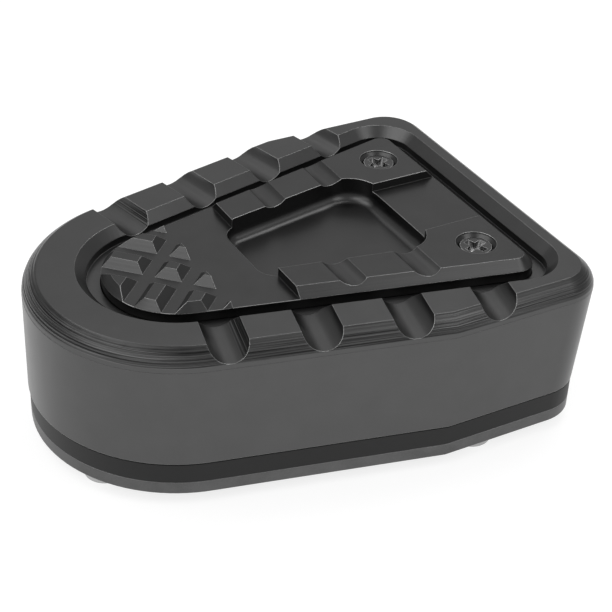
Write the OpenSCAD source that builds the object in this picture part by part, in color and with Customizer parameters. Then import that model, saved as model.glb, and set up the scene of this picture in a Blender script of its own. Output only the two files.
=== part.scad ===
// Clamp-on extension pad for a motorcycle foot lever.
// A milled tread insert is screwed into a wedge-shaped pad body. A spacer and a clamp plate
// close the body from below and are held by four screws, with the foot of the lever between
// them. +X points to the rear, the round nose points to -X, and Z is 0 at the screw heads.

/* [Plan outline] */
// Length from the nose to the rear face
pad_l = 72; // [68:1:80]
// Width across the two parallel rear flanks
pad_w = 54.5; // [52:0.5:60]
// Radius of the round nose
nose_r = 20.5; // [19:0.5:22]
// Angle at which each front flank opens out from the nose
flank_a = 13.1; // [12:0.1:15]
// Radius of the two rear corners
rear_r = 6.6; // [5:0.2:8]
// Angle at which the rear face leans in towards its foot
rear_lean = 5.7; // [0:0.1:8]

/* [Stack heights] */
// Thickness of the clamp plate
plate_t = 1.8; // [1.5:0.1:3]
// Thickness of the spacer
spacer_t = 2.85; // [2:0.05:5]
// Height of the plain outer wall of the body
wall_h = 14.6; // [13.6:0.2:20]
// Inset of spacer and clamp plate from the outline of the body
stack_in = 0.2; // [0:0.05:0.4]

/* [Rim of the body] */
// Height of the large crowned chamfer round the top
chamfer_h = 2.8; // [2.6:0.1:4]
// Width of that chamfer seen from above
chamfer_w = 2.0; // [1:0.1:3]
// Angle through which its crown turns away from the wall
chamfer_turn = 48; // [30:1:70]
// Distance from the outline to the inner edge of the rim, on nose and flanks
rim_w = 7.0; // [6:0.1:8]
// The same distance at the rear
rear_rim_w = 3.6; // [3:0.1:5]
// Radius of the inner rear corners of the rim
tray_r = 6.2; // [5:0.2:8]
// Size of the small chamfer on the inner edge
lip_c = 1.4; // [0.6:0.1:2]
// Depth of the groove floor below the rim
groove_d = 2.4; // [2.2:0.1:3]
// Width of the groove between rim and insert
groove_w = 2.0; // [1.5:0.1:2.6]
// Broken lower edge of the body
edge_c = 0.3; // [0.1:0.1:0.6]

/* [Rim scallops] */
// Number of scallops along each flank
scallop_n = 4; // [2:1:4]
// Radius of the milled scallops
scallop_r = 2.8; // [2.2:0.1:3.4]
// Depth of the scallops below the rim
scallop_d = 2.1; // [1:0.1:2.2]
// Distance of the first scallop from the end of the nose arc
scallop_start = 2.4; // [1:0.1:5]
// Pitch of the scallops along the flank
scallop_pitch = 12.1; // [9:0.1:12.5]

/* [Tread insert] */
// Depth of the lower tread face below the rim
low_d = 1.0; // [0.6:0.1:1.4]
// Height of the ridges and screw pads above the lower face
ridge_h = 1.3; // [0.8:0.1:1.8]
// Thickness of the insert below its lower face
insert_t = 3.8; // [3.4:0.1:4.4]
// Distance from the nose to the front end of the ridges
ridge_start = 31.9; // [30:0.1:34]
// Width of the low strip between the screw pads
strip_w = 14; // [10:0.5:16]
// Gap between the insert and its seat in the body
seat_gap = 0.1; // [0.05:0.05:0.3]

/* [Tread pocket] */
// Distance from the nose to the front wall of the pocket
pocket_start = 30.1; // [28:0.1:31]
// Distance from the nose to the rear wall of the pocket
pocket_end = 54.8; // [52:0.1:55]
// Half width of the pocket where the ridges start
pocket_half_w = 6.87; // [6:0.1:7.5]
// Angle of the two side walls of the pocket
pocket_a = 10.8; // [5:0.1:12]
// Depth of the pocket below the lower tread face
pocket_d = 2.2; // [1:0.1:2.5]
// Corner radius at the front wall
pocket_front_r = 3.1; // [2.5:0.1:4]
// Corner radius at the rear wall
pocket_rear_r = 4.4; // [3:0.1:5]
// Fillet between walls and floor
pocket_fillet = 1.5; // [0.5:0.1:1.5]

/* [Ridge notches] */
// Distance from the nose to the first cross notch
notch_start = 39.5; // [37:0.1:41]
// Distance between the two cross notches
notch_pitch = 10; // [8:0.1:11]
// Radius of the cutter
notch_r = 2.8; // [2:0.1:4]
// Depth of the notches below the ridges
notch_d = 0.65; // [0.3:0.05:1]

/* [Nose studs] */
// Number of stud rows
stud_rows = 4; // [2:1:4]
// Distance from the nose to the centre of the foremost stud
stud_start = 12.1; // [11:0.1:13]
// Pitch of the diagonal stud rows
stud_pitch = 5.44; // [5:0.02:5.8]
// Side of the square base of a stud
stud_base = 3.77; // [3:0.01:4.4]
// Side of its flat top
stud_top = 1.55; // [0.8:0.05:2.4]
// Height of the studs
stud_h = 1.1; // [0.6:0.1:1.6]
// Distance in front of the centres of the rearmost studs at which they are milled off
stud_cut = 0.45; // [0:0.05:0.7]

/* [Insert screws] */
// Distance of the insert screws from the rear face
insert_screw_back = 12.85; // [12:0.1:14]
// Inset of the insert screws from the flanks of the insert
insert_screw_side = 6.5; // [5.5:0.1:8]
// Head diameter of the countersunk screws
csk_head_d = 5.5; // [5:0.1:6]
// Length of the countersunk screws over all
csk_l = 8; // [6:0.5:8]

/* [Clamp screws] */
// Inset of the front clamp screws from the nose
clamp_front = 6.07; // [5.5:0.1:6.5]
// Distance between the two front clamp screws
clamp_front_span = 15.9; // [14:0.1:18]
// Distance of the rear clamp screws from the rear face
clamp_back = 18.1; // [14:0.1:20]
// Inset of the rear clamp screws from the flanks
clamp_side = 4.15; // [3.8:0.05:4.5]
// Head diameter of the pan head screws
pan_head_d = 5.7; // [5:0.1:6]
// Head height of the pan head screws
pan_head_h = 2.0; // [1.6:0.1:2.4]
// Length of the pan head screws below the head
pan_l = 12; // [8:1:14]

/* [Screw threads] */
// Thread diameter of all screws
thread_d = 3; // [2.5:0.1:3.4]
// Clearance round the threads and heads
thread_gap = 0.05; // [0.03:0.01:0.1]
// Clearance hole through insert, plate and spacer
through_d = 3.4; // [3.4:0.1:3.8]

/* [Lever socket] */
// Length of the socket for the foot of the lever
socket_l = 44; // [30:1:46]
// Width of the socket
socket_w = 30; // [20:1:32]
// Depth of the socket inside the body
socket_d = 8; // [4:0.5:8]
// Distance from the nose to the front wall of the socket
socket_start = 14; // [13:0.5:20]
// Width of the rear slot for the arm of the lever
arm_w = 16; // [8:1:18]
// Corner radius of the socket
socket_r = 4; // [2:0.5:6]

/* [Hidden] */

$fn = 96;
nose_x = -pad_l / 2;
rear_x = pad_l / 2;
nose_cx = nose_x + nose_r;
foot_x = rear_x - tan(rear_lean) * wall_h;
last_stud_x = nose_x + stud_start + (stud_rows - 1) * stud_pitch * cos(45);

// Levels of the stack, from the screw heads up
plate_z = pan_head_h;
spacer_z = plate_z + plate_t;
body_z = spacer_z + spacer_t;
wall_top = body_z + wall_h;
rim_z = wall_top + chamfer_h;
low_z = rim_z - low_d;
ridge_z = low_z + ridge_h;
seat_z = low_z - insert_t;
pocket_z = low_z - pocket_d;

// How far the insert outline lies inside the inner edge of the rim
insert_in = lip_c + groove_w;

// Overshoot of the cutting tools, and the sliver by which a chamfer starts inside its wall
over = 1;
thin = 0.01;
seam = 0.02;

// Hair by which the flanks lie inside the nose circle, so that the two outlines cross cleanly
tuck = 0.004;

// Bands that make up the crown of the chamfer
crown_n = 5;

// Depth of the cross recesses and the widths of their arms
cross_d = 1.2;
cross_w = 0.75;
cross_l = 2.9;

// Point on the centre line of a flank, at a distance along it and an inset from the outline
function flank_point(along, inset, side) = [
    nose_cx - (nose_r - inset) * sin(flank_a) + along * cos(flank_a),
    side * ((nose_r - inset) * cos(flank_a) + along * sin(flank_a))
];

// Half width at x between two flanks that leave a nose of radius r
function flank_y(r, x) = (r - tuck + (x - nose_cx) * sin(flank_a)) / cos(flank_a);

// Where the opening flanks of the outline, drawn in by inset, turn parallel
function bend_x(inset) =
    nose_cx + ((pad_w / 2 - inset) * cos(flank_a) - nose_r + inset + tuck) / sin(flank_a);

// Inset and height of the crowned chamfer after i of its bands
function crown_in(i) = chamfer_w * (1 - cos(chamfer_turn * i / crown_n)) / (1 - cos(chamfer_turn));
function crown_up(i) = chamfer_h * sin(chamfer_turn * i / crown_n) / sin(chamfer_turn);

// Half width of the pocket at a distance from the nose
function pocket_half(from_nose) = pocket_half_w + tan(pocket_a) * (from_nose - ridge_start);

// Round nose of radius r that opens out into two straight flanks as far as x_end
module wedge(r, x_end) {
    start_x = nose_cx - r * sin(flank_a);
    start_y = flank_y(r, start_x);
    end_y = flank_y(r, x_end);
    translate([nose_cx, 0]) circle(r);
    polygon([[start_x, -start_y], [x_end, -end_y], [x_end, end_y], [start_x, start_y]]);
}

// Rear end of the outline, from start to end, with its two round corners
module rear_end(start, end, half, r) {
    polygon([
        [start, -half], [end - r, -half], [end - r, r - half], [end, r - half],
        [end, half - r], [end - r, half - r], [end - r, half], [start, half]
    ]);
    for (side = [-1, 1]) translate([end - r, side * (half - r)]) circle(r);
}

// Outline of the whole pad, drawn in by inset: nose, opening flanks, parallel rear flanks
module plan(inset = 0, rear = rear_x) {
    wedge(nose_r - inset, bend_x(inset));
    rear_end(bend_x(inset), rear - inset, pad_w / 2 - inset, max(rear_r - inset, 1));
}

// Outer wall: upright round the nose and flanks, with a rear end that leans in to its foot
module wall() {
    split_x = foot_x - rear_r / cos(rear_lean) - over;
    translate([0, 0, body_z + edge_c]) linear_extrude(wall_h - edge_c) {
        wedge(nose_r, bend_x(0));
        translate([bend_x(0), -pad_w / 2]) square([split_x - bend_x(0), pad_w]);
    }
    intersection() {
        translate([rear_x, 0, wall_top]) rotate([0, rear_lean, 0])
            linear_extrude(3 * wall_h, center = true)
                rear_end(split_x - over - rear_x, 0, pad_w / 2, rear_r);
        translate([0, -pad_w, body_z + edge_c]) cube([pad_l, 2 * pad_w, wall_h - edge_c]);
    }
}

// Inner outline of the rim, drawn in by inset: its flanks run straight to the rear corners
module tray(inset = 0) {
    nose = nose_r - rim_w - inset;
    end = rear_x - rear_rim_w - inset;
    r = max(tray_r - inset, 1);
    corner_x = end - r;
    corner_y = flank_y(nose - r, corner_x);
    wedge(nose, corner_x - r * sin(flank_a));
    polygon([
        [corner_x - r * sin(flank_a), -corner_y - r * cos(flank_a)], [corner_x, -corner_y],
        [end, -corner_y], [end, corner_y],
        [corner_x, corner_y], [corner_x - r * sin(flank_a), corner_y + r * cos(flank_a)]
    ]);
    for (side = [-1, 1]) translate([corner_x, side * corner_y]) circle(r);
}

// Socket for the foot of the lever, with the slot for its arm running out at the rear
module socket_plan() {
    start = nose_x + socket_start;
    half = socket_w / 2;
    translate([start + socket_r, -half]) square([socket_l - 2 * socket_r, socket_w]);
    translate([start, socket_r - half]) square([socket_l, socket_w - 2 * socket_r]);
    for (x = [start + socket_r, start + socket_l - socket_r], side = [-1, 1])
        translate([x, side * (half - socket_r)]) circle(socket_r);
    translate([0, -arm_w / 2]) square([rear_x + over, arm_w]);
}

// Places its children at the two insert screws
module at_insert_screw(side) {
    x = rear_x - insert_screw_back;
    y = flank_y(nose_r - rim_w - insert_in, x) - insert_screw_side;
    translate([x, side * y, 0]) children();
}

// Places its children at a clamp screw
module at_clamp_screw(front, side) {
    x = front ? nose_x + clamp_front : rear_x - clamp_back;
    y = front ? clamp_front_span / 2 : pad_w / 2 - clamp_side;
    translate([x, side * y, 0]) children();
}

// Round cutter that mills one scallop out of the rim, square to the flank
module scallop_cutter(i, side) {
    along = scallop_start + i * scallop_pitch;
    inner = flank_point(along, rim_w + lip_c + groove_w / 2, side);
    translate([inner.x, inner.y, rim_z - scallop_d + scallop_r])
        rotate([0, 0, side * flank_a])
            rotate([-side * 90, 0, 0])
                cylinder(h = rim_w + lip_c + groove_w + over, r = scallop_r);
}

// Pad body: the large block with the crowned chamfer round its rim
module pad_body() {
    color("#3b3c3f") difference() {
        union() {
            wall();
            hull() {
                translate([0, 0, body_z]) linear_extrude(thin) plan(edge_c, foot_x);
                translate([0, 0, body_z + edge_c]) linear_extrude(thin) plan(seam, foot_x);
            }
            hull() for (i = [0 : crown_n])
                translate([0, 0, wall_top + crown_up(i) - thin])
                    linear_extrude(thin) plan(max(seam, crown_in(i)));
        }
        // Inner chamfer, groove floor and the deeper seat of the insert
        hull() {
            translate([0, 0, rim_z - lip_c]) linear_extrude(thin) tray(lip_c + seam);
            translate([0, 0, rim_z]) linear_extrude(thin) tray();
        }
        translate([0, 0, rim_z - groove_d]) linear_extrude(groove_d + over) tray(lip_c);
        translate([0, 0, seat_z]) linear_extrude(insert_t) tray(insert_in - seat_gap);
        for (side = [-1, 1], i = [0 : scallop_n - 1]) scallop_cutter(i, side);
        // Tapped holes of the insert screws and of the clamp screws
        for (side = [-1, 1]) {
            at_insert_screw(side)
                translate([0, 0, ridge_z - csk_l - 0.5]) cylinder(h = csk_l, d = thread_d + 2 * thread_gap);
            for (front = [true, false]) at_clamp_screw(front, side)
                translate([0, 0, plate_z]) cylinder(h = pan_l + 0.5, d = thread_d + 2 * thread_gap);
        }
        translate([0, 0, body_z - over]) linear_extrude(socket_d + over) socket_plan();
    }
}

// Round-nosed cutter of the tread pocket
module pocket_cutter(r) {
    rotate_extrude($fn = 32) {
        square([r - pocket_fillet, ridge_z - pocket_z + over]);
        translate([0, pocket_fillet]) square([r, ridge_z - pocket_z + over - pocket_fillet]);
        translate([r - pocket_fillet, pocket_fillet]) circle(pocket_fillet);
    }
}

// The pocket widens to the rear, so its side walls are tangent to a small and a large corner
module pocket() {
    front_x = pocket_start + pocket_front_r;
    back_x = pocket_end - pocket_rear_r;
    front_y = pocket_half(front_x) - pocket_front_r / cos(pocket_a);
    back_y = pocket_half(back_x) - pocket_rear_r / cos(pocket_a);
    hull() for (side = [-1, 1]) {
        translate([nose_x + front_x, side * front_y, pocket_z]) pocket_cutter(pocket_front_r);
        translate([nose_x + back_x, side * back_y, pocket_z]) pocket_cutter(pocket_rear_r);
    }
}

// Raised part of the insert, with a sloping edge all round
module raised() {
    hull() {
        translate([0, 0, low_z - thin]) linear_extrude(thin) tray(insert_in + seam);
        translate([0, 0, ridge_z - thin]) linear_extrude(thin) tray(insert_in + ridge_h);
    }
}

// Lane with sloping sides that separates two rows of studs
module lane() {
    half = (stud_pitch - stud_base) / 2;
    side = (stud_base - stud_top) / 2 * (1 + over / stud_h);
    rotate([90, 0, 0]) linear_extrude(2 * pad_w, center = true)
        polygon([[-half, 0], [half, 0], [half + side, stud_h + over], [-half - side, stud_h + over]]);
}

// Rows of one, two, three and four studs, left standing between two sets of diagonal lanes.
// The outer studs run out into the sloping edge of the insert. The flat level behind them is
// milled straight across, which takes the rear halves of the last row away.
module studs() {
    difference() {
        intersection() {
            raised();
            translate([nose_x, -pad_w / 2, seat_z]) cube([ridge_start, pad_w, insert_t + stud_h]);
        }
        translate([nose_x + stud_start, 0, low_z]) rotate(-45) {
            for (i = [0 : stud_rows - 1], turn = [0, 90])
                rotate(turn) translate([(i + 0.5) * stud_pitch, 0, 0]) lane();
        }
        translate([last_stud_x - stud_cut, -pad_w / 2, low_z])
            cube([ridge_start, pad_w, stud_h + over]);
    }
}

// Tread insert: plate with two raised ridges, screw pads, pocket and nose studs
module tread_insert() {
    color("#404144") difference() {
        union() {
            translate([0, 0, seat_z]) linear_extrude(insert_t) tray(insert_in);
            difference() {
                raised();
                translate([nose_x, -pad_w / 2, low_z]) cube([ridge_start, pad_w, ridge_h + over]);
            }
            studs();
        }
        pocket();
        translate([0, -strip_w / 2, low_z]) cube([rear_x, strip_w, ridge_h + over]);
        for (i = [0, 1])
            translate([nose_x + notch_start + i * notch_pitch, 0, ridge_z - notch_d + notch_r])
                rotate([90, 0, 0]) cylinder(h = pad_w, r = notch_r, center = true);
        for (side = [-1, 1]) at_insert_screw(side) {
            translate([0, 0, seat_z - over]) cylinder(h = insert_t + ridge_h + 2 * over, d = through_d);
            translate([0, 0, ridge_z]) countersink(thread_gap);
        }
    }
}

// Countersunk head with its top at 0 and a margin added all round
module countersink(margin) {
    r = csk_head_d / 2 + margin;
    rim = 0.15;
    translate([0, 0, -rim - margin]) cylinder(h = rim + margin + (margin > 0 ? over : 0), r = r);
    translate([0, 0, -rim - margin - r + thread_d / 2])
        cylinder(h = r - thread_d / 2, r1 = thread_d / 2, r2 = r);
}

// Cross recess cut into a screw head, open upwards at 0
module cross_recess() {
    for (turn = [0, 90]) rotate(turn)
        translate([-cross_l / 2, -cross_w / 2, -cross_d]) cube([cross_l, cross_w, cross_d + over]);
}

// Countersunk screw that holds the insert
module insert_screw(side) {
    color("#4a4b4e") at_insert_screw(side) translate([0, 0, ridge_z - thread_gap]) difference() {
        union() {
            countersink(0);
            translate([0, 0, -csk_l]) cylinder(h = csk_l - 1, d = thread_d);
        }
        cross_recess();
    }
}

// Outline of spacer and clamp plate, which end at the foot of the leaning rear face
module stack_plan() {
    plan(stack_in, foot_x + stack_in);
}

// Spacer between body and clamp plate, open where the lever passes
module spacer() {
    color("#1d1d1f") translate([0, 0, spacer_z]) difference() {
        linear_extrude(spacer_t) difference() {
            stack_plan();
            socket_plan();
        }
        for (front = [true, false], side = [-1, 1]) at_clamp_screw(front, side)
            translate([0, 0, -over]) cylinder(h = spacer_t + 2 * over, d = through_d);
    }
}

// Clamp plate that closes the pad from below
module clamp_plate() {
    color("#55565a") translate([0, 0, plate_z]) difference() {
        linear_extrude(plate_t) stack_plan();
        for (front = [true, false], side = [-1, 1]) at_clamp_screw(front, side)
            translate([0, 0, -over]) cylinder(h = plate_t + 2 * over, d = through_d);
    }
}

// Pan head screw, driven from below, with a rounded edge on the head
module clamp_screw(front, side) {
    edge = 0.6;
    r = pan_head_d / 2;
    color("#8f9195") at_clamp_screw(front, side) difference() {
        union() {
            rotate_extrude() {
                square([r - edge, pan_head_h]);
                translate([0, edge]) square([r, pan_head_h - edge]);
                translate([r - edge, edge]) circle(edge);
            }
            translate([0, 0, pan_head_h - thin]) cylinder(h = pan_l + thin, d = thread_d);
        }
        mirror([0, 0, 1]) cross_recess();
    }
}

pad_body();
tread_insert();
insert_screw(1);  // insert_screw_left
insert_screw(-1);  // insert_screw_right
spacer();
clamp_plate();
clamp_screw(true, 1);  // clamp_screw_front_left
clamp_screw(true, -1);  // clamp_screw_front_right
clamp_screw(false, 1);  // clamp_screw_rear_left
clamp_screw(false, -1);  // clamp_screw_rear_right
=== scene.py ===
"""Clamp-on extension pad for a motorcycle foot lever, dressed for a plain white studio."""
import math

import bmesh
import bpy
from mathutils import Matrix, Vector


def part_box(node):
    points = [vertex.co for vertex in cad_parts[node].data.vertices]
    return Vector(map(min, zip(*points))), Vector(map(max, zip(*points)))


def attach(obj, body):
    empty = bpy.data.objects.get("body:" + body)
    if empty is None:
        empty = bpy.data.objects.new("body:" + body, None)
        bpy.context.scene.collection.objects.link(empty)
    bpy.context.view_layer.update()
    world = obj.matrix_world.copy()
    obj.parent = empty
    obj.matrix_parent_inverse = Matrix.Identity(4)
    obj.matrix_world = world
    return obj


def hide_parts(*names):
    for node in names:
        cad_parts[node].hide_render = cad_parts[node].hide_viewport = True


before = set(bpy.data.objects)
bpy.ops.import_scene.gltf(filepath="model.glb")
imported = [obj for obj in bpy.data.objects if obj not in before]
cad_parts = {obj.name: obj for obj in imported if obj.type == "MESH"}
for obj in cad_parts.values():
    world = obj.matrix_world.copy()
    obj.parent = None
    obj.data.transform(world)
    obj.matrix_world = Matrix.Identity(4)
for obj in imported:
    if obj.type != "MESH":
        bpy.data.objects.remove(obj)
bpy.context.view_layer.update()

# Camera
# It looks down on the nose and the right flank, at -Y, with a long lens and a slight roll,
# as the photograph was taken.
CAMERA_LOOKS_AT = Vector((-0.00271, -0.01207, 0.02105))
CAMERA_AZIMUTH = math.radians(-30.292)
CAMERA_ELEVATION = math.radians(33.961)
CAMERA_ROLL = math.radians(2.535)
CAMERA_DISTANCE = 0.20887
CAMERA_LENS_MM = 94.01
FILM_WIDTH_MM = 36.0
NEAREST_SEEN = 0.01


def towards(azimuth, elevation):
    """Unit vector from the pad to a place round it; azimuth 0 is -Y, a quarter turn more +X."""
    return Vector((
        math.sin(azimuth) * math.cos(elevation),
        -math.cos(azimuth) * math.cos(elevation),
        math.sin(elevation),
    ))


def added(name, data):
    """New object in the scene that shows the given data."""
    thing = bpy.data.objects.new(name, data)
    bpy.context.scene.collection.objects.link(thing)
    return thing


back = towards(CAMERA_AZIMUTH, CAMERA_ELEVATION)
level = Vector((math.cos(CAMERA_AZIMUTH), math.sin(CAMERA_AZIMUTH), 0.0))
upright = back.cross(level)
right = level * math.cos(CAMERA_ROLL) + upright * math.sin(CAMERA_ROLL)
up = upright * math.cos(CAMERA_ROLL) - level * math.sin(CAMERA_ROLL)
camera = added("camera", bpy.data.cameras.new("camera"))
camera.data.lens = CAMERA_LENS_MM
camera.data.sensor_width = FILM_WIDTH_MM
camera.data.clip_start = NEAREST_SEEN
camera.matrix_world = Matrix.Translation(CAMERA_LOOKS_AT + back * CAMERA_DISTANCE) @ Matrix(
    (right, up, back)).transposed().to_4x4()
bpy.context.scene.camera = camera

# Floor and light
# White paper that runs far past the pad, a white room, and softboxes on all sides. The paper
# is white to the camera and in the metal, but for a soft shadow close to the pad.
FLOOR_HALF = 3.0
PAPER_GREY = 0.86
PAPER_ROUGHNESS = 0.9
PAPER_GLOSS = 0.1
PAPER_GLOW = 0.80
PAPER_LIT_SHARE = 0.35
ROOM_LEVEL = 0.38
PAD_CENTRE = Vector((0, 0, 0.02))
LAMP_DISTANCE = 0.6


def grey(value):
    """Opaque neutral colour."""
    return (value, value, value, 1)


def placed(tree, kind, given=None, **settings):
    """Adds a node; given maps its inputs to values or sockets, settings are its own."""
    node = tree.nodes.new(kind)
    for key, value in settings.items():
        setattr(node, key, value)
    for name, value in (given or {}).items():
        if isinstance(value, bpy.types.NodeSocket):
            tree.links.new(value, node.inputs[name])
        else:
            node.inputs[name].default_value = value
    return node


def material(name, given):
    """New material and its main shader; given maps the shader's inputs to even values."""
    made = bpy.data.materials.new(name)
    made.use_nodes = True
    shader = made.node_tree.nodes["Principled BSDF"]
    for key, value in given.items():
        shader.inputs[key].default_value = value
    return made, shader


def softbox(name, azimuth, elevation, radius, radiance):
    """Round softbox that faces the pad and is seen in the metal with the given radiance."""
    box = added(name, bpy.data.lights.new(name, "AREA"))
    box.data.shape = "DISK"
    box.data.size = 2 * radius
    box.data.energy = radiance * math.pi * math.pi * radius ** 2
    direction = towards(math.radians(azimuth), math.radians(elevation))
    box.location = PAD_CENTRE + direction * LAMP_DISTANCE
    box.rotation_mode = "QUATERNION"
    box.rotation_quaternion = direction.to_track_quat("Z", "Y")


floor = added("floor", bpy.data.meshes.new("floor"))
floor.data.from_pydata(
    [(x * FLOOR_HALF, y * FLOOR_HALF, 0) for x, y in ((-1, -1), (1, -1), (1, 1), (-1, 1))],
    [], [(0, 1, 2, 3)])
paper, lit = material("white_paper", {
    "Base Color": grey(PAPER_GREY), "Roughness": PAPER_ROUGHNESS, "Specular IOR Level": PAPER_GLOSS})
sheet = paper.node_tree
glow = placed(sheet, "ShaderNodeEmission", {"Strength": PAPER_GLOW})
dim = placed(sheet, "ShaderNodeBsdfDiffuse", {"Color": grey(PAPER_LIT_SHARE)})
shown = placed(sheet, "ShaderNodeAddShader", {0: glow.outputs[0], 1: dim.outputs[0]})
ray = placed(sheet, "ShaderNodeLightPath").outputs
either = placed(sheet, "ShaderNodeMath", {
    0: ray["Is Camera Ray"], 1: ray["Is Glossy Ray"]}, operation="MAXIMUM")
pick = placed(sheet, "ShaderNodeMixShader", {
    0: either.outputs[0], 1: lit.outputs[0], 2: shown.outputs[0]})
sheet.links.new(pick.outputs[0], sheet.nodes["Material Output"].inputs["Surface"])
floor.data.materials.append(paper)

room = bpy.data.worlds.new("white_room")
bpy.context.scene.world = room
room.use_nodes = True
room.node_tree.nodes["Background"].inputs["Color"].default_value = grey(1)
room.node_tree.nodes["Background"].inputs["Strength"].default_value = ROOM_LEVEL
bpy.context.scene.view_settings.view_transform = "Standard"

softbox("left_softbox", -66, 55, 0.17, 1.7)
softbox("front_softbox", 34, 45, 0.16, 1.7)
softbox("right_rear_softbox", 120, 60, 0.17, 2.6)
softbox("left_rear_softbox", 235, 58, 0.17, 1.8)
softbox("high_rear_softbox", 180, 58, 0.14, 1.0)
softbox("left_low_softbox", 270, 30, 0.16, 0.9)
softbox("rear_softbox", 152, 34, 0.2, 0.25)

# Pad body
# Milled from one block of aluminium and anodised dark grey. Its edges are broken by a sixth
# of a millimetre, rounded in the shading and painted bright, as rubbed metal with a painted
# highlight, and the crowned chamfer keeps the cutter's marks, with painted streaks of light
# and shade that darken it.
BODY_METAL = grey(0.095)
# Bright grey painted on outer edges: rubbed metal, with a painted highlight.
RUBBED_AND_HIGHLIGHT_GREY = grey(0.5)
EDGE_ANGLE = math.radians(40)
CREASE_ANGLE = math.radians(14)
MERGE = 2e-6
EDGE_STEPS = 3


def converted(piece):
    """Plain mesh of a piece as its modifiers leave it; takes the modifiers away."""
    bpy.context.view_layer.update()
    seen = piece.evaluated_get(bpy.context.evaluated_depsgraph_get())
    finished = bpy.data.meshes.new_from_object(seen)
    piece.modifiers.clear()
    return finished


def finished_copy(name, source, edge_break=0.0):
    """Merged copy of a CAD node with even shading; edge_break bevels its outer edges."""
    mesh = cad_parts[source].data.copy()
    form = bmesh.new()
    form.from_mesh(mesh)
    bmesh.ops.remove_doubles(form, verts=form.verts, dist=MERGE)
    weight = form.edges.layers.float.new("bevel_weight_edge")
    for edge in form.edges:
        if edge.calc_face_angle(0) > EDGE_ANGLE and edge.is_convex:
            edge[weight] = 1.0
    form.to_mesh(mesh)
    form.free()
    mesh.attributes.remove(mesh.attributes["custom_normal"])
    copy = added(name, mesh)
    if edge_break:
        bevel = copy.modifiers.new("edge_break", "BEVEL")
        bevel.limit_method = "WEIGHT"
        bevel.width = edge_break
        bevel.segments = EDGE_STEPS
        copy.data = converted(copy)
    copy.data.set_sharp_from_angle(angle=CREASE_ANGLE)
    even = copy.modifiers.new("even_normals", "WEIGHTED_NORMAL")
    even.keep_sharp = True
    copy.data = converted(copy)
    return copy


def dress(piece, finish, slot, *nodes):
    """Gives a finished piece its material and body, and hides the nodes that it stands for; slot is not
    used.
    """
    piece.data.materials.clear()
    piece.data.materials.append(finish)
    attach(piece, "root")
    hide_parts(*nodes)


def shader_group(name, inputs, outputs):
    """Empty node group with float inputs; returns it and the sockets at its two ends."""
    group = bpy.data.node_groups.new(name, "ShaderNodeTree")
    for socket in inputs:
        group.interface.new_socket(socket, in_out="INPUT", socket_type="NodeSocketFloat")
    for socket, kind in outputs.items():
        group.interface.new_socket(socket, in_out="OUTPUT", socket_type=kind)
    given = group.nodes.new("NodeGroupInput").outputs
    result = group.nodes.new("NodeGroupOutput").inputs
    return group, given, result


def use_group(tree, group, **values):
    """Places a node group in a material, with its values; returns its outputs."""
    return placed(tree, "ShaderNodeGroup", values, node_tree=group).outputs


def maths(tree, operation, first, second, third=0.0):
    """Math node between sockets or numbers; returns its output socket."""
    return placed(tree, "ShaderNodeMath", {
        0: first, 1: second, 2: third}, operation=operation).outputs[0]


def ramp(tree, value, start, end, low=0.0, high=1.0, curve="LINEAR"):
    """Goes from low, where the value is start, to high, where it is end."""
    return placed(tree, "ShaderNodeMapRange", {
        "Value": value, "From Min": start, "From Max": end, "To Min": low, "To Max": high},
        interpolation_type=curve).outputs[0]


def dot(tree, first, second):
    """Dot product of two vector sockets."""
    return placed(tree, "ShaderNodeVectorMath", {
        0: first, 1: second}, operation="DOT_PRODUCT").outputs["Value"]


def noise(tree, cells, detail, roughness=0.5):
    """Noise on object coordinates, with the given cells per metre along X, Y and Z."""
    place = placed(tree, "ShaderNodeTexCoord").outputs["Object"]
    scaled = placed(tree, "ShaderNodeMapping", {"Vector": place, "Scale": cells}).outputs[0]
    return placed(tree, "ShaderNodeTexNoise", {
        "Vector": scaled, "Scale": 1.0, "Detail": detail, "Roughness": roughness}).outputs["Fac"]


# Noise cells per metre, the Z of a normal where lines begin and end, and where the lines
# and their painted streaks fade.
COARSE_CUTS = (22, 22, 4500)
FINE_CUTS = (60, 60, 8000)
PAINTED_STREAK_CELLS = (30, 30, 6500)
# Taking more than the noise's middle darkens the sloping faces on the whole: painted shade.
STREAK_MIDDLE = 0.57
WALL_TILT, SLOPE_TILT = 0.12, 0.3
LEVEL_TILT, SLOPE_END_TILT = 0.9, 0.75
# The lines and their painted streaks fade from the nose towards the rear.
CUTS_FULL_X, CUTS_FADED_X = -0.025, 0.03
FADED_CUTS_SHARE = 0.35


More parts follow.
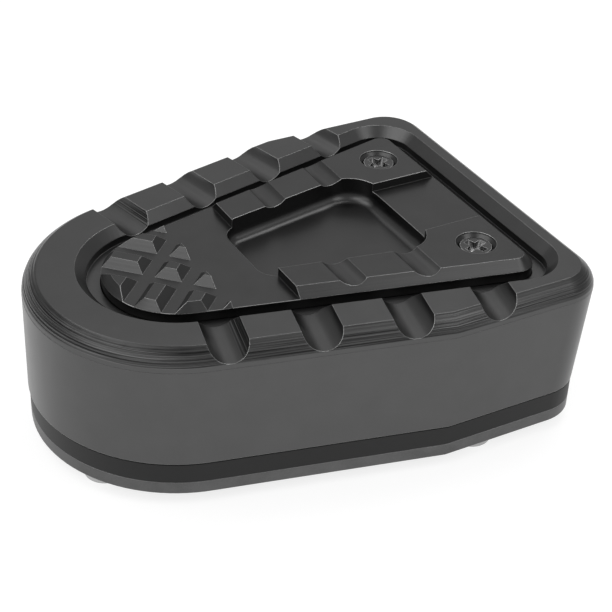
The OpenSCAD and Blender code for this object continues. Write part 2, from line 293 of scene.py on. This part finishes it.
def cutter_lines_group():
    """Level lines that a cutter leaves on faces that slope outwards: their height, and painted streaks
    of light and shade along them.
    """
    group, given, result = shader_group(
        "cutter_lines", ("Coarse", "Fine"),
        {"Height": "NodeSocketFloat", "Painted Shade": "NodeSocketFloat"})
    height = maths(
        group, "ADD", maths(group, "MULTIPLY", noise(group, COARSE_CUTS, 1.0), given["Coarse"]),
        maths(group, "MULTIPLY", noise(group, FINE_CUTS, 1.0), given["Fine"]))
    normal = placed(group, "ShaderNodeNewGeometry").outputs["Normal"]
    tilt = placed(group, "ShaderNodeSeparateXYZ", {0: normal}).outputs["Z"]
    sloping = maths(group, "MULTIPLY", ramp(group, tilt, WALL_TILT, SLOPE_TILT, curve="SMOOTHSTEP"),
                    ramp(group, tilt, LEVEL_TILT, SLOPE_END_TILT, curve="SMOOTHSTEP"))
    place = placed(group, "ShaderNodeTexCoord").outputs["Object"]
    in_plan = placed(group, "ShaderNodeVectorMath", {0: place, 1: (1, 1, 0)}, operation="MULTIPLY")
    outside = maths(group, "GREATER_THAN", dot(group, in_plan.outputs[0], normal), 0.0)
    along = placed(group, "ShaderNodeSeparateXYZ", {0: place}).outputs["X"]
    fading = ramp(group, along, CUTS_FULL_X, CUTS_FADED_X, 1.0, FADED_CUTS_SHARE)
    mask = maths(group, "MULTIPLY", maths(group, "MULTIPLY", sloping, outside), fading)
    group.links.new(maths(group, "MULTIPLY", height, mask), result["Height"])
    # Painted streaks of light and shade along the lines.
    streaks = maths(group, "SUBTRACT", noise(group, PAINTED_STREAK_CELLS, 2.0, 0.7), STREAK_MIDDLE)
    group.links.new(maths(group, "MULTIPLY", streaks, mask), result["Painted Shade"])
    return group


GRAIN_CELLS = (7000, 7000, 7000)
BLOTCH_CELLS = (260, 260, 260)
NOISE_MIDDLE = 0.5


def anodised_grain_group():
    """Fine grain and soft blotches of an anodised surface, both round 0."""
    group, given, result = shader_group(
        "anodised_grain", ("Grain", "Blotch"),
        {"Grain": "NodeSocketFloat", "Blotch": "NodeSocketFloat"})
    grain = maths(group, "SUBTRACT", noise(group, GRAIN_CELLS, 3.0, 0.6), NOISE_MIDDLE)
    blotch = maths(group, "SUBTRACT", noise(group, BLOTCH_CELLS, 3.0), NOISE_MIDDLE)
    group.links.new(maths(group, "MULTIPLY", grain, given["Grain"]), result["Grain"])
    group.links.new(maths(group, "MULTIPLY", blotch, given["Blotch"]), result["Blotch"])
    return group


EDGE_RADIUS = 0.00016
BEND_BEGINS, BEND_FULL = 0.97, 0.88
HIDDEN_AIR, OPEN_AIR = 0.8, 0.95


def rubbed_edges_and_highlights_group():
    """Normal that rounds every edge, and a mask of the outer edges, which are rubbed and carry a
    painted highlight.
    """
    group, given, result = shader_group(
        "rubbed_edges_and_highlights", ("Amount",), {"Mask": "NodeSocketFloat", "Normal": "NodeSocketVector"})
    rounded = placed(group, "ShaderNodeBevel", {"Radius": EDGE_RADIUS}, samples=8).outputs[0]
    group.links.new(rounded, result["Normal"])
    bend = dot(group, rounded, placed(group, "ShaderNodeNewGeometry").outputs["Normal"])
    air = placed(group, "ShaderNodeAmbientOcclusion", {"Distance": 2 * EDGE_RADIUS},
                 samples=6, only_local=True).outputs["AO"]
    # Outer edges painted bright: rubbed, and a painted highlight.
    rubbed_and_highlight_mask = maths(group, "MULTIPLY", ramp(group, bend, BEND_BEGINS, BEND_FULL),
                 ramp(group, air, HIDDEN_AIR, OPEN_AIR))
    group.links.new(maths(group, "MULTIPLY", rubbed_and_highlight_mask, given["Amount"]), result["Mask"])
    return group


def tinted(tree, colour, shade):
    """Colour times a shade that changes over the surface."""
    return placed(tree, "ShaderNodeVectorMath", {
        0: colour[:3], "Scale": shade}, operation="SCALE").outputs[0]


def brightened_where(tree, mask, paint, bright_colour):
    """Paint, with the bright colour where the mask is: on rubbed edges with a painted highlight, and as
    a painted highlight in screw recesses.
    """
    return placed(tree, "ShaderNodeMix", {
        "Factor": mask, "A": paint, "B": bright_colour}, data_type="RGBA").outputs["Result"]


CUTTER_LINES = cutter_lines_group()
ANODISED_GRAIN = anodised_grain_group()
RUBBED_EDGES_AND_HIGHLIGHTS = rubbed_edges_and_highlights_group()
FINE_CUTS_SHARE = 0.5
GRAIN_SHADE, GRAIN_MATT, GRAIN_DEPTH = 0.5, 0.3, 0.0000012
BLOTCH_SHADE, BLOTCH_MATT = 0.6, 0.25


def milled_anodised(name, colour, roughness, cuts, streaks, grain, rub_and_highlight):
    """Dark anodised aluminium; cuts is the depth of the cutter lines in metres, the last three
    are the strengths of their painted streaks of light and shade, of grain and blotches, and
    of the bright edges, rubbed and with a painted highlight."""
    metal, shader = material(name, {"Metallic": 1.0})
    tree = metal.node_tree
    lines = use_group(tree, CUTTER_LINES, Coarse=cuts, Fine=cuts * FINE_CUTS_SHARE)
    fine = use_group(tree, ANODISED_GRAIN, Grain=grain, Blotch=grain)
    edges = use_group(tree, RUBBED_EDGES_AND_HIGHLIGHTS, Amount=rub_and_highlight)
    # The colour's shade carries the painted streaks and shade of the cutter lines, and grain and
    # blotches.
    shade = maths(tree, "MULTIPLY_ADD", lines["Painted Shade"], streaks, 1.0)
    shade = maths(tree, "MULTIPLY_ADD", fine["Blotch"], BLOTCH_SHADE, shade)
    shade = maths(tree, "MULTIPLY_ADD", fine["Grain"], GRAIN_SHADE, shade)
    # Outer edges painted bright: rubbed, and a painted highlight.
    paint = brightened_where(tree, edges["Mask"], tinted(tree, colour, shade), RUBBED_AND_HIGHLIGHT_GREY)
    tree.links.new(paint, shader.inputs["Base Color"])
    matt = maths(tree, "MULTIPLY_ADD", fine["Blotch"], BLOTCH_MATT, roughness)
    matt = maths(tree, "MULTIPLY_ADD", fine["Grain"], GRAIN_MATT, matt)
    tree.links.new(matt, shader.inputs["Roughness"])
    height = maths(tree, "MULTIPLY_ADD", fine["Grain"], GRAIN_DEPTH, lines["Height"])
    relief = placed(tree, "ShaderNodeBump", {
        "Strength": 1.0, "Distance": 1.0, "Height": height, "Normal": edges["Normal"]})
    tree.links.new(relief.outputs[0], shader.inputs["Normal"])
    return metal


body = finished_copy("milled_pad_body", "pad_body")
body_metal = milled_anodised(
    "milled_body_metal", BODY_METAL, roughness=0.34, cuts=0.00018, streaks=4.0, grain=0.25, rub_and_highlight=0.7)
dress(body, body_metal, "body_anodised", "pad_body")

# Tread insert
# A second milled plate with ridges, screw pads, pocket and nose studs. It lies in a seat of
# the body, and its edges are painted brighter than the body's, as rubbed metal with a painted
# highlight.
INSERT_METAL = grey(0.074)
insert = finished_copy("milled_tread_insert", "tread_insert")
insert_metal = milled_anodised(
    "milled_insert_metal", INSERT_METAL, roughness=0.32, cuts=0.00002, streaks=0.4, grain=0.3, rub_and_highlight=1.0)
dress(insert, insert_metal, "insert_anodised", "tread_insert")

# Insert screws
# Two M3 countersunk screws of blackened steel hold the insert. They are sunk a little below
# the screw pads, and a painted highlight makes their deep cross recesses bright.
M3_SHANK_RADIUS = 0.00148
INSERT_SCREW = {
    "Head Radius": 0.0022, "Head Height": 0.0008, "Shank Radius": M3_SHANK_RADIUS,
    "Recess Length": 0.0035, "Recess Width": 0.0011, "Recess Depth": 0.0014,
    "Turn": (0.0, 0.0, math.radians(20))}
BLACKENED = grey(0.1)
# Bright grey of the painted highlight in the screws' recesses, and of their rubbed and highlighted
# edges.
BRIGHT_STEEL = grey(0.9)
SCREW_SINK = 0.00045
SCREW_SIDES = 48
SCREW_EDGE = 0.00005
SCREW_EDGE_STEPS = 2
HEAD_RIM = 0.00012
CONE_FOOT = 0.00001
OVERLAP = 0.0002
QUARTER_TURN = math.radians(90)
SQUARE_SCALE = 0.5 / math.cos(math.radians(45))
ARM_TAPER = 0.55
CORE_SIDES = 8
CORE_RADIUS_SHARE = 0.95
CORE_DEPTH_SHARE = 1.25
CORE_TIP = 0.00005


def vector(tree, x, y, z):
    """Vector made of three sockets or numbers."""
    return placed(tree, "ShaderNodeCombineXYZ", {"X": x, "Y": y, "Z": z}).outputs[0]


def moved(tree, geometry, **change):
    """Geometry after a Transform node with the given Translation, Rotation or Scale."""
    return placed(tree, "GeometryNodeTransform", {"Geometry": geometry, **change}).outputs[0]


def lifted(tree, geometry, height, **change):
    """Geometry raised by a height, after the given Rotation."""
    return moved(tree, geometry, Translation=vector(tree, 0.0, 0.0, height), **change)


def negative(tree, value):
    """Value with its sign turned."""
    return maths(tree, "MULTIPLY", value, -1.0)


def joined(tree, *parts):
    """Several geometries as one."""
    node = tree.nodes.new("GeometryNodeJoinGeometry")
    for part in parts:
        tree.links.new(part, node.inputs[0])
    return node.outputs[0]


def hull(tree, *parts):
    """Convex hull of several geometries."""
    return placed(tree, "GeometryNodeConvexHull", {"Geometry": joined(tree, *parts)}).outputs[0]


def cut_or_joined(tree, operation, first, second):
    """Exact boolean of two solids."""
    node = placed(tree, "GeometryNodeMeshBoolean", {"Self Intersection": True},
                  operation=operation, solver="EXACT")
    first_input = "Mesh 1" if operation == "DIFFERENCE" else "Mesh 2"
    tree.links.new(first, node.inputs[first_input])
    tree.links.new(second, node.inputs["Mesh 2"])
    return node.outputs["Mesh"]


def disc(tree, radius, height, top):
    """Cylinder with its upper end at the height top."""
    column = placed(tree, "GeometryNodeMeshCylinder", {
        "Vertices": SCREW_SIDES, "Radius": radius, "Depth": height}).outputs["Mesh"]
    return lifted(tree, column, maths(tree, "MULTIPLY_ADD", height, -0.5, top))


def countersunk_head(tree, given):
    """Flat head with a short rim, which narrows to the shank at about 45 degrees."""
    foot = disc(tree, given["Shank Radius"], CONE_FOOT, negative(tree, given["Head Height"]))
    return hull(tree, disc(tree, given["Head Radius"], HEAD_RIM, 0.0), foot)


def cross_cutter(tree, length, width, depth):
    """Cutter of a cross recess: two crossing tapered bars and a pointed core."""
    taper = placed(tree, "GeometryNodeMeshCone", {
        "Vertices": 4, "Radius Top": 1.0, "Radius Bottom": ARM_TAPER, "Depth": 1.0}).outputs["Mesh"]
    size = vector(tree, maths(tree, "MULTIPLY", length, SQUARE_SCALE),
                  maths(tree, "MULTIPLY", width, SQUARE_SCALE), maths(tree, "ADD", depth, OVERLAP))
    bar = moved(tree, moved(tree, taper, Rotation=(0, 0, QUARTER_TURN / 2)), Scale=size)
    bottom = negative(tree, depth)
    arms = [lifted(tree, bar, bottom, Rotation=(0, 0, turn)) for turn in (0, QUARTER_TURN)]
    core = placed(tree, "GeometryNodeMeshCone", {
        "Vertices": CORE_SIDES, "Radius Top": maths(tree, "MULTIPLY", width, CORE_RADIUS_SHARE),
        "Radius Bottom": CORE_TIP,
        "Depth": maths(tree, "MULTIPLY_ADD", depth, CORE_DEPTH_SHARE, OVERLAP)}).outputs["Mesh"]
    point = lifted(tree, core, maths(tree, "MULTIPLY", depth, -CORE_DEPTH_SHARE),
                   Rotation=(0, 0, QUARTER_TURN / 4))
    return joined(tree, *arms, point)


def screw_tree(name, head):
    """Screw at each point of its object: head up at the point, shank down, cross recess."""
    tree = bpy.data.node_groups.new(name, "GeometryNodeTree")
    tree.interface.new_socket("Places", in_out="INPUT", socket_type="NodeSocketGeometry")
    for label in ("Head Radius", "Head Height", "Shank Radius", "Length",
                  "Recess Length", "Recess Width", "Recess Depth"):
        tree.interface.new_socket(label, in_out="INPUT", socket_type="NodeSocketFloat")
    tree.interface.new_socket("Turn", in_out="INPUT", socket_type="NodeSocketVector")
    tree.interface.new_socket("Steel", in_out="INPUT", socket_type="NodeSocketMaterial")
    tree.interface.new_socket("Screws", in_out="OUTPUT", socket_type="NodeSocketGeometry")
    given = tree.nodes.new("NodeGroupInput").outputs
    under = maths(tree, "SUBTRACT", OVERLAP, given["Head Height"])
    shank = disc(tree, given["Shank Radius"], maths(tree, "ADD", given["Length"], under), under)
    blank = cut_or_joined(tree, "UNION", head(tree, given), shank)
    recess = cross_cutter(tree, given["Recess Length"], given["Recess Width"], given["Recess Depth"])
    screw = cut_or_joined(tree, "DIFFERENCE", blank, recess)
    copies = placed(tree, "GeometryNodeInstanceOnPoints", {
        "Points": given["Places"], "Instance": screw, "Rotation": given["Turn"]})
    real = placed(tree, "GeometryNodeRealizeInstances", {"Geometry": copies.outputs[0]})
    clad = placed(tree, "GeometryNodeSetMaterial", {
        "Geometry": real.outputs[0], "Material": given["Steel"]})
    tree.links.new(clad.outputs[0], tree.nodes.new("NodeGroupOutput").inputs[0])
    return tree


def screw(name, tree, place, sizes):
    """One screw at a place, as a plain mesh; sizes maps the tree's input names to values."""
    points = bpy.data.meshes.new(name)
    points.from_pydata([place], [], [])
    piece = added(name, points)
    build = piece.modifiers.new("screw", "NODES")
    build.node_group = tree
    for socket in tree.interface.items_tree:
        if socket.in_out == "INPUT" and socket.name in sizes:
            build[socket.identifier] = sizes[socket.name]
    edges = piece.modifiers.new("edge_break", "BEVEL")
    edges.limit_method = "ANGLE"
    edges.angle_limit = EDGE_ANGLE
    edges.width = SCREW_EDGE
    edges.segments = SCREW_EDGE_STEPS
    piece.data = converted(piece)
    piece.data.set_sharp_from_angle(angle=CREASE_ANGLE)
    return piece


def middle_of(node):
    """Plan position of the middle of a CAD node."""
    low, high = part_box(node)
    return (low.x + high.x) / 2, (low.y + high.y) / 2


STEEL_GRAIN = 0.5
RECESS_REACH = 0.0008
RECESS_BEGINS, RECESS_DEEP = 0.9, 0.55


def screw_steel(name, colour, roughness, rub_and_highlight):
    """Steel with fine grain; the last argument sets how bright the outer edges are, rubbed and with a
    painted highlight, and how bright the recess is, with a painted highlight.
    """
    steel, shader = material(name, {"Metallic": 1.0})
    tree = steel.node_tree
    fine = use_group(tree, ANODISED_GRAIN, Grain=STEEL_GRAIN, Blotch=STEEL_GRAIN)
    edges = use_group(tree, RUBBED_EDGES_AND_HIGHLIGHTS, Amount=rub_and_highlight)
    # The cross recess turns bright: a painted highlight.
    hollow = placed(tree, "ShaderNodeAmbientOcclusion", {"Distance": RECESS_REACH},
                    samples=8, only_local=True).outputs["AO"]
    recess_highlight = ramp(tree, hollow, RECESS_BEGINS, RECESS_DEEP, 0.0, rub_and_highlight)
    bright = maths(tree, "MAXIMUM", edges["Mask"], recess_highlight)
    plain = tinted(tree, colour, maths(tree, "ADD", fine["Blotch"], 1.0))
    tree.links.new(brightened_where(tree, bright, plain, BRIGHT_STEEL), shader.inputs["Base Color"])
    tree.links.new(maths(tree, "ADD", fine["Grain"], roughness), shader.inputs["Roughness"])
    return steel


countersunk = screw_tree("countersunk_screw", countersunk_head)
blackened = screw_steel("blackened_steel", BLACKENED, roughness=0.24, rub_and_highlight=1.0)
for side in ("left", "right"):
    cad_name = "insert_screw_" + side
    low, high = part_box(cad_name)
    top = high.z - SCREW_SINK
    piece = screw(side + "_insert_screw", countersunk, (*middle_of(cad_name), top), {
        **INSERT_SCREW, "Length": top - low.z, "Steel": blackened})
    dress(piece, blackened, "dark_screw_steel", cad_name)

# Spacer
# A black plastic frame between body and clamp plate, open at the rear, where the lever's arm
# passes. The four clamp screws run through it.
SPACER_BLACK = grey(0.014)
SPACER_EDGE = 0.00025
spacer = finished_copy("black_spacer", "spacer", SPACER_EDGE)
spacer_black, _ = material("black_plastic", {
    "Base Color": SPACER_BLACK, "Roughness": 0.5, "Specular IOR Level": 0.3})
dress(spacer, spacer_black, "spacer_black", "spacer")

# Clamp plate
# Cut from aluminium sheet and anodised like the body, with a rough sawn edge. It closes the
# pad from below, and the four clamp screws press it against the spacer.
PLATE_METAL = grey(0.115)
PLATE_EDGE = 0.00012
plate = finished_copy("sheet_clamp_plate", "clamp_plate", PLATE_EDGE)
plate_metal = milled_anodised(
    "plate_metal", PLATE_METAL, roughness=0.42, cuts=0.0, streaks=0.0, grain=1.4, rub_and_highlight=0.8)
dress(plate, plate_metal, "plate_anodised", "clamp_plate")

# Clamp screws
# Four M3 pan head screws of plain zinc-plated steel hold plate and spacer against the body.
# They are driven from below, and the pad stands on their heads.
CLAMP_SCREW = {
    "Head Radius": 0.00285, "Head Height": 0.002, "Shank Radius": M3_SHANK_RADIUS,
    "Recess Length": 0.0031, "Recess Width": 0.0009, "Recess Depth": 0.0012,
    "Turn": (math.pi, 0.0, 0.0)}
ZINC = grey(0.42)
DOME_SHARE = 0.2
DOME_RINGS = 24


def pan_head(tree, given):
    """Round head with a low dome over a straight rim."""
    radius = given["Head Radius"]
    dome = maths(tree, "MULTIPLY", given["Head Height"], DOME_SHARE)
    rim = maths(tree, "SUBTRACT", given["Head Height"], dome)
    ball = placed(tree, "GeometryNodeMeshUVSphere", {
        "Segments": SCREW_SIDES, "Rings": DOME_RINGS, "Radius": 1.0}).outputs["Mesh"]
    cap = moved(tree, ball, Scale=vector(tree, radius, radius, dome))
    shoulder = negative(tree, dome)
    return hull(tree, lifted(tree, cap, shoulder), disc(tree, radius, rim, shoulder))


pan = screw_tree("pan_screw", pan_head)
zinc = screw_steel("zinc_plated_steel", ZINC, roughness=0.3, rub_and_highlight=0.2)
for corner in ("front_left", "front_right", "rear_left", "rear_right"):
    cad_name = "clamp_screw_" + corner
    low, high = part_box(cad_name)
    piece = screw(corner + "_clamp_screw", pan, (*middle_of(cad_name), low.z), {
        **CLAMP_SCREW, "Length": high.z - low.z, "Steel": zinc})
    dress(piece, zinc, "bright_screw_steel", cad_name)
